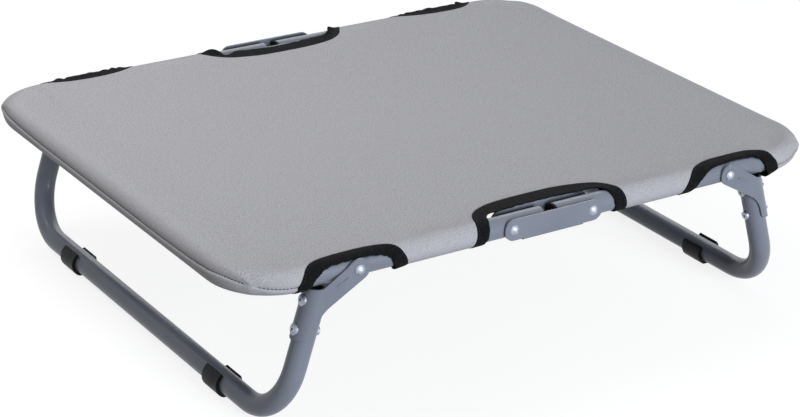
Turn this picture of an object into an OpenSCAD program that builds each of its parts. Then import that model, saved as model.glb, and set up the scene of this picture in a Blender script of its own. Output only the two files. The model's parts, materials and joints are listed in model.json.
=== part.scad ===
// Raised folding dog cot: two hinged halves of bent steel tube, a pair of folding U legs,
// and a stretched woven cover with bound cut-outs round the hinges.
// X runs along the bed, Y across it, Z up. The floor is at Z = 0, below the middle of the bed.

/* [Tube frame] */
// Outside diameter of the steel tube
tube_d = 22; // [20:0.5:24]
// Wall thickness of the steel tube
tube_wall = 1.2; // [0.8:0.1:2]
// Distance between the two side rail axes
rail_span = 532; // [500:1:580]
// Distance between the two end bar axes
frame_length = 674; // [660:1:720]
// Height of the rail axes above the foot bar axes
rail_rise = 147.6; // [140:0.1:160]
// Centreline radius of the frame's corner bends
frame_bend_r = 55; // [40:1:64]
// Gap between the facing tube ends at the middle of each rail
rail_gap = 16; // [10:0.5:20]

/* [Centre links] */
// Distance between the two fold pivots of a link
link_pivots = 95; // [95:0.5:104]
// Sheet thickness of a link
link_t = 2; // [1.5:0.1:2.5]
// Height of a link's side plates
link_h = 22; // [20:0.5:22.5]
// Outer radius of the bend between a link's plates and its web
link_fold_r = 3; // [2.5:0.1:4]

/* [Legs] */
// Distance between the leg pivots of the two halves
leg_pivots = 445; // [435:1:455]
// Lean of the legs away from upright
leg_splay = 17; // [12:0.5:20]
// Distance from a leg pivot to the axis of its leg
leg_offset = 31.5; // [29:0.1:31.6]
// Centreline radius of the leg's bends
leg_bend_r = 58; // [40:1:66]

/* [Leg brackets] */
// Sheet thickness of a bracket
bracket_t = 2; // [1.5:0.1:2]
// Radius of the ears round the leg pivot
boss_r = 11; // [9:0.1:11]
// Distance along the leg from the pivot down to the bracket's foot
bracket_drop = 78; // [76:1:86]
// Distance along the leg from the pivot down to the waist of the ears
waist_drop = 47.5; // [45:0.5:50]
// Distance from the leg axis to the waist, towards the pivot
waist_reach = 1.5; // [1:0.5:4]
// Radius of the hollow curve at the waist
waist_r = 32; // [20:1:34]
// Rise of the bracket's foot from the outside of the leg to the ears
bracket_foot_rise = 8; // [5:0.5:10]
// Radius of the round corner at the bracket's foot
bracket_foot_r = 6; // [4:1:8]
// Distance from the leg axis to the shoulder of the ears, away from the pivot
shoulder_reach = 3; // [1:0.5:5]
// Radius of the hollow curve at the shoulder
shoulder_r = 9; // [4:1:12]
// Distance along the leg from the pivot down to the upper rivet
upper_rivet_drop = 38; // [35:1:42]
// Distance between the two bracket rivets
bracket_rivet_pitch = 29; // [22:1:32]
// Distance from the pivot to the middle of the pressed rib on the ears
rib_reach = 20; // [19:0.5:22]
// Slope of the line from the pivot to the rib
rib_slope = 42; // [39:1:45]
// Length of the pressed rib on the ears
rib_length = 14; // [8:1:15]
// Width of the pressed rib on the ears
rib_width = 2; // [1:0.1:3]
// Height of the pressed rib above the ears
rib_height = 0.6; // [0.3:0.1:0.8]

/* [Rivets] */
// Shank diameter of the pivot rivets
pivot_rivet_d = 6; // [5:0.1:7]
// Head diameter of the pivot rivets
pivot_head_d = 11.2; // [9:0.1:12]
// Shank diameter of the bracket rivets
bracket_rivet_d = 5; // [4:0.1:5.5]
// Head diameter of the bracket rivets
bracket_head_d = 11.5; // [10:0.1:12.5]
// Height of the bracket rivets' heads, which pass each other when the bed is folded
bracket_head_h = 2.4; // [2:0.1:2.5]
// Height of the straight rim of a bracket rivet's head
bracket_head_rim = 0.8; // [0.5:0.1:1.2]
// Height of the pivot rivets' domed heads
pivot_head_h = 3; // [2.2:0.1:3.2]
// Diameter of the dimple in a bracket rivet's head and tail
dimple_d = 2.6; // [2:0.1:3]
// Depth of the dimple
dimple_depth = 1; // [0.5:0.1:1.2]
// Diameter of the rolled tail of a bracket rivet
tail_d = 9; // [7:0.1:9.5]
// Height of the rolled tail
tail_h = 2.2; // [1.6:0.1:2.4]

/* [Plugs and feet] */
// Thickness of a plug's flange
plug_flange = 2; // [1:0.1:3]
// Depth of a rail plug inside its tube
rail_plug_depth = 14; // [8:1:20]
// Depth of a leg plug inside its tube, above the rivets
leg_plug_depth = 5; // [4:0.5:6]
// Chamfer on the flange's edge
plug_chamfer = 0.6; // [0.3:0.1:0.9]
// Distance between the two feet on a foot bar
foot_spacing = 314; // [260:1:350]
// Length of a foot along its bar
foot_length = 28; // [20:1:40]
// Wall of a foot
foot_wall = 3.6; // [3:0.1:4.2]
// Angle of the open top of a foot
foot_opening = 104; // [90:2:130]
// Turn of the left feet round their bar, towards the middle of the bed
left_foot_turn = 20; // [0:1:25]
// Turn of the right feet round their bar, towards the middle of the bed
right_foot_turn = 3; // [0:1:25]
// Depth of the flat under a foot
foot_flat = 1.1; // [0.8:0.1:1.4]

/* [Cover] */
// Thickness of the woven cover
cover_t = 1.2; // [0.8:0.1:1.6]
// Thickness of the binding tape over a folded edge
tape_t = 1.8; // [1.4:0.1:2]
// Width of the binding tape on the leg cut-outs
tape_w = 14; // [12:0.5:14.5]
// Width of the binding tape seen from above on the centre cut-outs
centre_tape_w = 18; // [12:0.5:18.5]
// Reach of a leg cut-out from its pivot, towards the middle of the bed
leg_cut_inboard = 59; // [56:0.5:61]
// Reach of a leg cut-out from its pivot, towards the end of the bed
leg_cut_outboard = 70; // [68:0.5:72]
// Reach of a leg cut-out from the rail axis into the bed
leg_cut_depth = 5.5; // [4:0.5:7]
// Reach of a centre cut-out past the fold pivots
centre_cut_past = 45; // [42:0.5:48]
// Reach of a centre cut-out from the rail axis into the bed
centre_cut_depth = 33; // [31:0.5:36]
// Corner radius of a leg cut-out
leg_cut_r = 30; // [24:0.5:32]
// Corner radius of a centre cut-out
centre_cut_r = 41; // [34:0.5:41]

/* [Clearances] */
// Radial clearance of a rivet in its holes, and of plugs and feet on their tubes
running_gap = 0.05; // [0.02:0.01:0.1]
// Gap between neighbouring faces that move or that fabric covers
part_gap = 0.3; // [0.2:0.05:0.4]

/* [Hidden] */
$fn = 64;

left = -1;
right = 1;
front = -1;
rear = 1;

coat_grey = [0.44, 0.46, 0.51];
zinc = [0.80, 0.82, 0.84];
black_plastic = [0.07, 0.07, 0.08];
fabric_grey = [0.63, 0.63, 0.64];
tape_black = [0.10, 0.10, 0.11];

tube_r = tube_d / 2;
bore_r = tube_r - tube_wall;
bar_z = tube_r + foot_wall - foot_flat;
rail_z = bar_z + rail_rise;
rail_y = rail_span / 2;
end_x = frame_length / 2;
fold_x = link_pivots / 2;
leg_x = leg_pivots / 2;
tube_end_x = rail_gap / 2;

// Inside and outside of the folded sheet that wraps a tube
wrap_in = tube_r + part_gap;
link_out = wrap_in + link_t;
bracket_out = wrap_in + bracket_t;

// The web under a link stops short of the tube that swings down beside it
web_half = fold_x - tube_r - 2 * part_gap;

// A leg's own axes: n points away from the middle of the bed, s runs up the leg from the foot bar
pivot_s = (rail_rise + leg_offset * sin(leg_splay)) / cos(leg_splay);
foot_x = leg_x + pivot_s * sin(leg_splay) + leg_offset * cos(leg_splay);
stop_rise = rail_rise - tube_r - part_gap;
leg_top_s = (stop_rise - tube_r * sin(leg_splay)) / cos(leg_splay) - plug_flange;
bracket_foot_s = pivot_s - bracket_drop;
waist_s = pivot_s - waist_drop;
rivet_s = [pivot_s - upper_rivet_drop, pivot_s - upper_rivet_drop - bracket_rivet_pitch];

// The cover lies a gap away from the tubes
skin_r = tube_r + part_gap;
leg_cut_from = leg_x - leg_cut_inboard;
leg_cut_to = leg_x + leg_cut_outboard;
centre_cut_to = fold_x + centre_cut_past;
split_x = fold_x + part_gap / 2;
past = 40;

function unit(v) = v / norm(v);

// Points of an arc that rounds corner b between its neighbours a and c, with radius b[2]
function corner_arc(a, b, c, steps) =
    let (
        p = [b[0], b[1]],
        u = unit([a[0], a[1]] - p),
        v = unit([c[0], c[1]] - p),
        half = acos(u * v) / 2,
        centre = p + unit(u + v) * b[2] / sin(half),
        from = p + u * b[2] / tan(half) - centre,
        to = p + v * b[2] / tan(half) - centre,
        turn = 180 - 2 * half,
        way = sign(from[0] * to[1] - from[1] * to[0])
    )
    [for (i = [0 : steps])
        let (t = way * turn * i / steps)
        centre + [from[0] * cos(t) - from[1] * sin(t), from[0] * sin(t) + from[1] * cos(t)]];

// An outline whose corners are [x, y, radius]
function rounded(points, steps = 8) =
    let (n = len(points))
    [for (i = [0 : n - 1])
        each points[i][2] > 0
            ? corner_arc(points[(i + n - 1) % n], points[i], points[(i + 1) % n], steps)
            : [[points[i][0], points[i][1]]]];

// Where a line from p touches a circle, on the side given by its sign
function touch(p, centre, r, side) =
    let (
        d = centre - p,
        way = atan2(d[1], d[0]) + side * asin(r / norm(d)),
        reach = sqrt(d * d - r * r)
    )
    [p[0] + reach * cos(way), p[1] + reach * sin(way), 0];

// Height along the leg of a level line, at a distance n from the leg axis
function level_s(rise, n) = (rise - n * sin(leg_splay)) / cos(leg_splay);

// A round bar bent to a U: its base lies along Y, and its arms run along X
module u_bar(arm, span, bend_r, r) {
    rotate([90, 0, 0])
        cylinder(h = span - 2 * bend_r, r = r, center = true);
    for (side = [-1, 1]) {
        translate([bend_r, side * span / 2, 0])
            rotate([0, 90, 0])
                cylinder(h = arm - bend_r, r = r);
        translate([bend_r, side * (span / 2 - bend_r), 0])
            rotate([0, 0, side > 0 ? 90 : 180])
                rotate_extrude(angle = 90)
                    translate([bend_r, 0])
                        circle(r = r);
    }
}

// The same bar as a tube with open ends
module u_tube(arm, span, bend_r, r_out, r_in) {
    difference() {
        u_bar(arm, span, bend_r, r_out);
        u_bar(arm + 1, span, bend_r, r_in);
    }
}

// Draws its children, made for the right half, on either half
module on_half(side) {
    if (side == right)
        children();
    else
        mirror([1, 0, 0])
            children();
}

// Draws its children, made for the front rail, on either rail
module on_rail(side) {
    if (side == front)
        children();
    else
        mirror([0, 1, 0])
            children();
}

// Places the right leg's own axes: X is n, Y is across the bed, Z is s
module on_leg(side) {
    on_half(side)
        translate([foot_x, 0, bar_z])
            rotate([0, -leg_splay, 0])
                children();
}

// A hole or shank across the bed, centred on a rail
module cross_pin(x, r, length) {
    translate([x, 0, rail_z])
        rotate([90, 0, 0])
            cylinder(h = length, r = r, center = true);
}

// A domed head that stands on Z = 0
module dome(d, h) {
    ball_r = (d * d / 4 + h * h) / (2 * h);
    rotate_extrude()
        intersection() {
            translate([0, h - ball_r])
                circle(r = ball_r);
            square([d / 2, h]);
        }
}

// A rivet across one rail, with a domed head at each end
module pivot_rivet(x, y, half_grip) {
    translate([x, y, rail_z]) {
        rotate([90, 0, 0])
            cylinder(h = 2 * half_grip, d = pivot_rivet_d, center = true);
        for (side = [-1, 1])
            translate([0, side * half_grip, 0])
                rotate([-90 * side, 0, 0])
                    dome(pivot_head_d, pivot_head_h);
    }
}

// One half of the bed frame, with its pivot holes
module frame_half() {
    difference() {
        translate([end_x, 0, rail_z])
            mirror([1, 0, 0])
                u_tube(end_x - tube_end_x, rail_span, frame_bend_r, tube_r, bore_r);
        for (x = [fold_x, leg_x])
            cross_pin(x, pivot_rivet_d / 2 + running_gap, rail_span + 2 * tube_d);
    }
}

// A plastic plug: its flange closes the tube end, and its body sits inside. It points along Z
module tube_plug(depth) {
    rotate_extrude()
        polygon([
            [0, -depth],
            [bore_r - running_gap - plug_chamfer, -depth],
            [bore_r - running_gap, -depth + plug_chamfer],
            [bore_r - running_gap, 0],
            [tube_r, 0],
            [tube_r, plug_flange - plug_chamfer],
            [tube_r - plug_chamfer, plug_flange],
            [0, plug_flange]
        ]);
}

module rail_plug() {
    translate([tube_end_x, -rail_y, rail_z])
        rotate([0, -90, 0])
            tube_plug(rail_plug_depth);
}

// The outline of a link from the side: round ends at the pivots, and the deeper web between them
module link_side() {
    for (side = [-1, 1])
        translate([side * fold_x, 0])
            circle(d = link_h);
    square([link_pivots, link_h], center = true);
    translate([-web_half, -link_out])
        square([2 * web_half, link_out]);
}

// A folded link seen along the rail: two plates and the web under the tube ends
module link_section() {
    difference() {
        union() {
            translate([-link_out, -link_out + link_fold_r])
                square([2 * link_out, 2 * link_out]);
            translate([-link_out + link_fold_r, -link_out])
                square([2 * (link_out - link_fold_r), 2 * link_fold_r]);
            for (side = [-1, 1])
                translate([side * (link_out - link_fold_r), -link_out + link_fold_r])
                    circle(r = link_fold_r);
        }
        translate([-wrap_in, -wrap_in])
            square([2 * wrap_in, 4 * wrap_in]);
    }
}

module centre_link() {
    difference() {
        translate([0, -rail_y, rail_z])
            intersection() {
                rotate([90, 0, 90])
                    linear_extrude(height = link_pivots + 2 * link_h, center = true)
                        link_section();
                rotate([90, 0, 0])
                    linear_extrude(height = 4 * link_out, center = true)
                        link_side();
            }
        for (side = [-1, 1])
            cross_pin(side * fold_x, pivot_rivet_d / 2 + running_gap, rail_span + 2 * tube_d);
    }
}

// A leg: the foot bar along the floor, and two arms up to the rails
module leg_tube() {
    difference() {
        rotate([0, -90, 0])
            u_tube(leg_top_s, rail_span, leg_bend_r, tube_r, bore_r);
        for (s = rivet_s)
            for (side = [-1, 1])
                translate([0, side * rail_y, s])
                    rotate([0, 90, 0])
                        cylinder(h = 2 * tube_d, d = bracket_rivet_d + 2 * running_gap, center = true);
    }
}

module leg_plug() {
    translate([0, -rail_y, leg_top_s])
        tube_plug(leg_plug_depth);
}

// The side outline of a bracket in the leg's axes, from its foot to the ears at the pivot
module bracket_side() {
    pivot = [-leg_offset, pivot_s];
    shoulder = [shoulder_reach, level_s(stop_rise, shoulder_reach)];
    waist = [-waist_reach, waist_s];
    outside = bracket_out + 1;
    polygon(rounded([
        [outside, bracket_foot_s, 0],
        [outside, level_s(stop_rise, outside), 0],
        [shoulder[0], shoulder[1], shoulder_r],
        touch(shoulder, pivot, boss_r, -1),
        [pivot[0], pivot[1], 0],
        touch(waist, pivot, boss_r, 1),
        [waist[0], waist[1], waist_r],
        [-waist_reach / 2, bracket_foot_s + bracket_foot_rise, bracket_foot_r]
    ]));
    translate(pivot)
        circle(r = boss_r);
}

// A bracket seen along the leg: a half round that wraps the leg, and two flat ears
module bracket_section() {
    ear = leg_offset + 2 * boss_r;
    difference() {
        union() {
            circle(r = bracket_out);
            translate([-ear, -bracket_out])
                square([ear, 2 * bracket_out]);
        }
        circle(r = wrap_in);
        translate([-ear - 1, -wrap_in])
            square([ear + 1, 2 * wrap_in]);
    }
}

// The short pressed rib on an ear, on a line from the pivot to the leg
module bracket_rib() {
    translate([-leg_offset, 0, pivot_s])
        rotate([0, rib_slope, 0])
            translate([rib_reach, -bracket_out + bracket_t / 2, 0])
                rotate([90, 0, 0])
                    linear_extrude(height = rib_height + bracket_t / 2) {
                        square([rib_length - rib_width, rib_width], center = true);
                        for (side = [-1, 1])
                            translate([side * (rib_length - rib_width) / 2, 0])
                                circle(d = rib_width);
                    }
}

module bracket() {
    translate([0, -rail_y, 0])
        difference() {
            union() {
                intersection() {
                    linear_extrude(height = pivot_s + 2 * boss_r)
                        bracket_section();
                    rotate([90, 0, 0])
                        linear_extrude(height = 4 * bracket_out, center = true)
                            bracket_side();
                }
                bracket_rib();
            }
            translate([-leg_offset, 0, pivot_s])
                rotate([90, 0, 0])
                    cylinder(h = 4 * bracket_out, r = pivot_rivet_d / 2 + running_gap, center = true);
            for (s = rivet_s)
                translate([0, 0, s])
                    rotate([0, 90, 0])
                        cylinder(h = 2 * bracket_out, d = bracket_rivet_d + 2 * running_gap);
        }
}

// A domed head on a straight rim that stands on Z = 0, carried on below to a depth
module rimmed_dome(d, h, rim, depth) {
    rise = h - rim;
    ball_r = (d * d / 4 + rise * rise) / (2 * rise);
    rotate_extrude()
        intersection() {
            translate([0, h - ball_r])
                circle(r = ball_r);
            translate([0, -depth])
                square([d / 2, depth + h]);
        }
}

// A rivet through a bracket and its leg: a dimpled dome outside and a rolled tail inside
module bracket_rivet() {
    sink = bracket_head_d * bracket_head_d / (4 * bracket_out);
    head_top = bracket_out + bracket_head_h;
    tail_end = tube_r + tail_h;
    shank_from = -tail_end + tail_h / 4;
    shank_to = bracket_out + bracket_head_h / 4;
    difference() {
        union() {
            difference() {
                translate([bracket_out, 0, 0])
                    rotate([0, 90, 0])
                        rimmed_dome(bracket_head_d, bracket_head_h, bracket_head_rim, sink);
                cylinder(h = 4 * bracket_head_d, r = bracket_out + running_gap, center = true);
            }
            difference() {
                translate([-tail_end, 0, 0])
                    rotate([0, 90, 0])
                        cylinder(h = 2 * tail_h, d = tail_d);
                cylinder(h = 4 * tail_d, r = tube_r + running_gap, center = true);
            }
            translate([shank_from, 0, 0])
                rotate([0, 90, 0])
                    cylinder(h = shank_to - shank_from, d = bracket_rivet_d);
        }
        translate([head_top - dimple_depth, 0, 0])
            rotate([0, 90, 0])
                cylinder(h = 2 * dimple_depth, d = dimple_d);
        translate([-tail_end - dimple_depth, 0, 0])
            rotate([0, 90, 0])
                cylinder(h = 2 * dimple_depth, d = dimple_d);
    }
}

// A foot: a clip of C section round the foot bar, open at the top and flat below
module foot(turn) {
    reach = 2 * (tube_r + foot_wall);
    half = foot_opening / 2;
    translate([foot_x, -foot_spacing / 2, bar_z])
        rotate([90, 0, 0])
            linear_extrude(height = foot_length, center = true)
                difference() {
                    circle(r = tube_r + foot_wall);
                    circle(r = tube_r + running_gap);
                    rotate(turn)
                        polygon([
                            [0, 0],
                            [reach * sin(half), reach * cos(half)],
                            [0, reach],
                            [-reach * sin(half), reach * cos(half)]
                        ]);
                    translate([-reach / 2, -tube_r - foot_wall])
                        square([reach, foot_flat]);
                }
}

// The plan of the whole bed along the tube axes
module bed_plan() {
    square([frame_length - 2 * frame_bend_r, rail_span], center = true);
    square([frame_length, rail_span - 2 * frame_bend_r], center = true);
    for (x = [-1, 1])
        for (y = [-1, 1])
            translate([x * (end_x - frame_bend_r), y * (rail_y - frame_bend_r)])
                circle(r = frame_bend_r);
}

// The plan of a cut-out in the front edge, from x0 to x1 and to a depth inside the rail axis
module cut_plan(x0, x1, depth, r) {
    inner = -rail_y + depth;
    outer = -rail_y - past;
    polygon(rounded([[x0, outer, 0], [x1, outer, 0], [x1, inner, r], [x0, inner, r]]));
}

// A plan raised through the height of the rails
module through_rails() {
    translate([0, 0, rail_z - past])
        linear_extrude(height = 2 * past)
            children();
}

// The front leg cut-out of the right half, drawn in by an inset
module leg_cut(inset) {
    through_rails()
        cut_plan(leg_cut_from + inset, leg_cut_to - inset, leg_cut_depth - inset, leg_cut_r - inset);
}

// The front centre cut-out, drawn in by an inset along the rail and another across it
module centre_cut(inset_x, inset_y) {
    reach = centre_cut_to - inset_x;
    through_rails()
        cut_plan(-reach, reach, centre_cut_depth - inset_y, centre_cut_r - inset_y);
}

// Room for a bracket's ears: all of the sleeve below the sheet, but for the tape over the rail's shoulder
module ear_room() {
    room = leg_cut_to - leg_cut_from - 2 * tape_w;
    translate([leg_cut_from + tape_w, -rail_y - past, rail_z - past]) {
        cube([room, past + bracket_out + 4 * part_gap, past + tube_r / 2]);
        translate([0, past, 0])
            cube([room, bracket_out + 4 * part_gap, past + tube_r + part_gap / 2]);
    }
}

// Fabric of one thickness over the right half: a sheet on top, and sleeves round the tubes
module skin(t) {
    intersection() {
        union() {
            translate([0, 0, rail_z + skin_r])
                linear_extrude(height = t)
                    bed_plan();
            translate([end_x, 0, rail_z])
                mirror([1, 0, 0])
                    u_tube(end_x - split_x, rail_span, frame_bend_r, skin_r + t, skin_r);
        }
        translate([split_x, -rail_span, 0])
            cube([frame_length, 2 * rail_span, 2 * rail_z]);
    }
}

module half_cover() {
    difference() {
        skin(cover_t);
        for (side = [front, rear])
            on_rail(side) {
                leg_cut(0);
                ear_room();
                centre_cut(0, 0);
            }
    }
}

module middle_cover() {
    length = 2 * (fold_x - part_gap / 2);
    width = 2 * (rail_y - centre_cut_depth);
    translate([-length / 2, -width / 2, rail_z + skin_r])
        cube([length, width, cover_t]);
}

module leg_binding() {
    difference() {
        intersection() {
            skin(tape_t);
            leg_cut(0);
        }
        leg_cut(tape_w);
        ear_room();
    }
}

// The end of a centre cut-out's tape, on the right half
module centre_binding_end() {
    difference() {
        intersection() {
            skin(tape_t);
            centre_cut(0, 0);
        }
        centre_cut(tape_w, centre_tape_w);
    }
}

module centre_binding_middle() {
    length = 2 * (fold_x - part_gap / 2);
    translate([-length / 2, -rail_y + centre_cut_depth - centre_tape_w, rail_z + skin_r])
        cube([length, centre_tape_w, tape_t]);
}

module left_frame() { color(coat_grey) on_half(left) frame_half(); }
module right_frame() { color(coat_grey) on_half(right) frame_half(); }

module left_front_rail_plug() { color(black_plastic) on_half(left) on_rail(front) rail_plug(); }
module left_rear_rail_plug() { color(black_plastic) on_half(left) on_rail(rear) rail_plug(); }
module right_front_rail_plug() { color(black_plastic) on_half(right) on_rail(front) rail_plug(); }
module right_rear_rail_plug() { color(black_plastic) on_half(right) on_rail(rear) rail_plug(); }

module half_pivot_rivets() {
    for (side = [front, rear])
        pivot_rivet(leg_x, side * rail_y, bracket_out + part_gap);
}

module left_pivot_rivets() { color(zinc) on_half(left) half_pivot_rivets(); }
module right_pivot_rivets() { color(zinc) on_half(right) half_pivot_rivets(); }

module front_link() { color(coat_grey) on_rail(front) centre_link(); }
module rear_link() { color(coat_grey) on_rail(rear) centre_link(); }

module link_rivets() {
    color(zinc)
        for (x = [-fold_x, fold_x])
            for (side = [front, rear])
                pivot_rivet(x, side * rail_y, link_out + running_gap);
}

module left_leg_tube() { color(coat_grey) on_leg(left) leg_tube(); }
module right_leg_tube() { color(coat_grey) on_leg(right) leg_tube(); }

module left_front_leg_plug() { color(black_plastic) on_leg(left) on_rail(front) leg_plug(); }
module left_rear_leg_plug() { color(black_plastic) on_leg(left) on_rail(rear) leg_plug(); }
module right_front_leg_plug() { color(black_plastic) on_leg(right) on_rail(front) leg_plug(); }
module right_rear_leg_plug() { color(black_plastic) on_leg(right) on_rail(rear) leg_plug(); }

module left_front_bracket() { color(coat_grey) on_leg(left) on_rail(front) bracket(); }
module left_rear_bracket() { color(coat_grey) on_leg(left) on_rail(rear) bracket(); }
module right_front_bracket() { color(coat_grey) on_leg(right) on_rail(front) bracket(); }
module right_rear_bracket() { color(coat_grey) on_leg(right) on_rail(rear) bracket(); }

module leg_bracket_rivets() {
    for (side = [front, rear])
        for (s = rivet_s)
            translate([0, side * rail_y, s])
                bracket_rivet();
}

module left_bracket_rivets() { color(zinc) on_leg(left) leg_bracket_rivets(); }
module right_bracket_rivets() { color(zinc) on_leg(right) leg_bracket_rivets(); }

module left_front_foot() { color(black_plastic) on_half(left) on_rail(front) foot(left_foot_turn); }
module left_rear_foot() { color(black_plastic) on_half(left) on_rail(rear) foot(left_foot_turn); }
module right_front_foot() { color(black_plastic) on_half(right) on_rail(front) foot(right_foot_turn); }
module right_rear_foot() { color(black_plastic) on_half(right) on_rail(rear) foot(right_foot_turn); }

module left_cover() { color(fabric_grey) on_half(left) half_cover(); }
module centre_cover() { color(fabric_grey) middle_cover(); }
module right_cover() { color(fabric_grey) on_half(right) half_cover(); }

module left_front_leg_binding() { color(tape_black) on_half(left) on_rail(front) leg_binding(); }
module left_rear_leg_binding() { color(tape_black) on_half(left) on_rail(rear) leg_binding(); }
module right_front_leg_binding() { color(tape_black) on_half(right) on_rail(front) leg_binding(); }
module right_rear_leg_binding() { color(tape_black) on_half(right) on_rail(rear) leg_binding(); }

module left_front_centre_binding() { color(tape_black) on_half(left) on_rail(front) centre_binding_end(); }
module left_rear_centre_binding() { color(tape_black) on_half(left) on_rail(rear) centre_binding_end(); }
module front_centre_binding() { color(tape_black) on_rail(front) centre_binding_middle(); }
module rear_centre_binding() { color(tape_black) on_rail(rear) centre_binding_middle(); }
module right_front_centre_binding() { color(tape_black) on_half(right) on_rail(front) centre_binding_end(); }
module right_rear_centre_binding() { color(tape_black) on_half(right) on_rail(rear) centre_binding_end(); }

left_frame();
right_frame();
left_front_rail_plug();
left_rear_rail_plug();
right_front_rail_plug();
right_rear_rail_plug();
left_pivot_rivets();
right_pivot_rivets();
front_link();
rear_link();
link_rivets();
left_leg_tube();
right_leg_tube();
left_front_leg_plug();
left_rear_leg_plug();
right_front_leg_plug();
right_rear_leg_plug();
left_front_bracket();
left_rear_bracket();
right_front_bracket();
right_rear_bracket();
left_bracket_rivets();
right_bracket_rivets();
left_front_foot();
left_rear_foot();
right_front_foot();
right_rear_foot();
left_cover();
centre_cover();
right_cover();
left_front_leg_binding();
left_rear_leg_binding();
right_front_leg_binding();
right_rear_leg_binding();
left_front_centre_binding();
left_rear_centre_binding();
front_centre_binding();
rear_centre_binding();
right_front_centre_binding();
right_rear_centre_binding();
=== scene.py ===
"""Looks of the raised dog cot: the stretched cover, its bound cut-outs and seams, and each part's finish.

Lengths are in millimetres until a mesh is made. The camera, the lamps and the distances in the finishes are
in metres. X runs along the bed, Y across it, Z up. The cloth is laid out in two lengths: p along a half's
tube, from the middle of the front rail round the end bar to the middle of the rear rail, and s across the
cloth, from the top of the tube outwards and down round it.
"""

import json
import math

import bpy
import numpy as np
from mathutils import Matrix


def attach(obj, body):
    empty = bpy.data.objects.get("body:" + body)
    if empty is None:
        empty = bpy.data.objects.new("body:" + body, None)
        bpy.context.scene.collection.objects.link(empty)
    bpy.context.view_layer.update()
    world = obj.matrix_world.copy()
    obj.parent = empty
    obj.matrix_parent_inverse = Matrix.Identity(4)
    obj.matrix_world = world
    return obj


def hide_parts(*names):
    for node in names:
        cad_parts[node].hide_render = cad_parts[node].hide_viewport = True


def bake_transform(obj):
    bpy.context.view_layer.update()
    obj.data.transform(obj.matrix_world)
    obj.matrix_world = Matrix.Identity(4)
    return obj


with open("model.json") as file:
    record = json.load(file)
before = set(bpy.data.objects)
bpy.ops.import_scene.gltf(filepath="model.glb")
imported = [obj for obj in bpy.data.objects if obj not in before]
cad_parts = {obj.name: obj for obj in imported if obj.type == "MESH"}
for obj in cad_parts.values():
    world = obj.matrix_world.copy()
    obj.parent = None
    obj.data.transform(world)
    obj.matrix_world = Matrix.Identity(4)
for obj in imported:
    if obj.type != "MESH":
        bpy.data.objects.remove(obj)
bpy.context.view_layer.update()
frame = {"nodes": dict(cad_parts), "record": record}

MM = 0.001

# The frame, as the CAD model has it
RAIL_Z = 161.1
RAIL_Y = 266.0
END_X = 337.0
BEND_R = 55.0

# The cover: the radius of its middle round the tube, its thickness, the strip of sheet that is made with
# the sleeve, how far round the tube it goes, the hem and how far it lies below the sheet, and the yarns
CLOTH_R = 11.9
CLOTH_T = 1.0
STRIP = 45.0
WRAP_END = math.radians(215)
HEM = 8.0
HEM_DROP = 1.2
YARN_PITCH = 0.75
# The lowest that its inner side may come towards the tube
LEAST_LIFT = -0.8

# How far the sheet dips in its middle, at the centre cut-outs and just inside the tube, and where:
# the half size of what dips, and the x that the cut-outs reach
SHEET_DIP = 2.6
EDGE_SAG = 0.3
TROUGH = 0.9
DIP_X, DIP_Y = 328, 262
CENTRE_REACH = 98
LEG_REACH = (145, 285)

# The binding tape: its width at the legs and at the middle of the bed, how high its upper side stands,
# the share of its width that lies on the cloth, how far in its sewn line is, and the x where the line
# starts from the middle of the bed
TAPE_W = 14.0
CENTRE_TAPE_W = {"front": 20.2, "rear": 18.5}
TAPE_TOP = 1.15
CUT_SHARE = 0.45
SEWN_IN = 2.0
SEWN_FROM = 6

# Stitches: their sizes, each ring's place along a stitch and its girth, and the bare length at a tip
SEAM_STITCH = dict(length=2.9, gap=0.8, radius=0.55)
TAPE_STITCH = dict(length=2.4, gap=1.1, radius=0.28)
STITCH_RINGS = ((-0.5, 0.25), (-0.42, 0.75), (-0.2, 1.0), (0.2, 1.0), (0.42, 0.75), (0.5, 0.25))
TIP_GAP = 4.0

# How finely the cloth is divided: points along a rail, a corner and half an end bar, loops of the sheet,
# and the step along a cut-out
RAIL_POINTS, CORNER_POINTS, BAR_POINTS = 95, 61, 51
SHEET_LOOPS = 34
CUT_STEP = 2.2

# Lengths along a half's tube
RUN = END_X - BEND_R
ARC = BEND_R * math.pi / 2
BAR = 2 * (RAIL_Y - BEND_R)
LENGTH = 2 * RUN + 2 * ARC + BAR

# Lengths across the cloth: round the tube, then back up to the sheet
S_WRAP = CLOTH_R * WRAP_END
FLAP = (CLOTH_R - HEM_DROP - CLOTH_R * math.cos(WRAP_END)) / -math.sin(WRAP_END)
S_END = S_WRAP + FLAP + HEM

HALVES = {"left": -1.0, "right": 1.0}
RAILS = ("front", "rear")

# Where the fabric meets the tape round each cut-out: x from the middle of the bed, and s
LEG_CUTS = {
    ("left", "front"): [(167.5, 26), (171.9, 15.6), (178.8, 5), (190, -1.5), (206, -4.7), (222.5, -5.5),
                        (245, -4.8), (262.5, -2.1), (275.6, 5), (283.8, 15), (288, 26)],
    ("left", "rear"): [(161, 26), (166, 15.6), (173, 6), (184, -1), (200, -5.5), (222, -7.5),
                       (246, -6.5), (264, -3), (279, 3), (288, 12), (294, 26)],
    ("right", "front"): [(162.5, 26), (168.1, 15.6), (178.1, 5), (191.3, -3.1), (207, -7.8), (222.5, -8.8),
                         (247.5, -8.8), (262.5, -6.5), (275.6, 1.3), (281.9, 11.3), (288.8, 26)],
    ("right", "rear"): [(157, 26), (162, 12), (171, 3), (187, -3.5), (205, -7.5), (226, -9.8),
                        (248, -10), (263, -7.5), (275, -1), (283, 10), (288, 26)],
}
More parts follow.
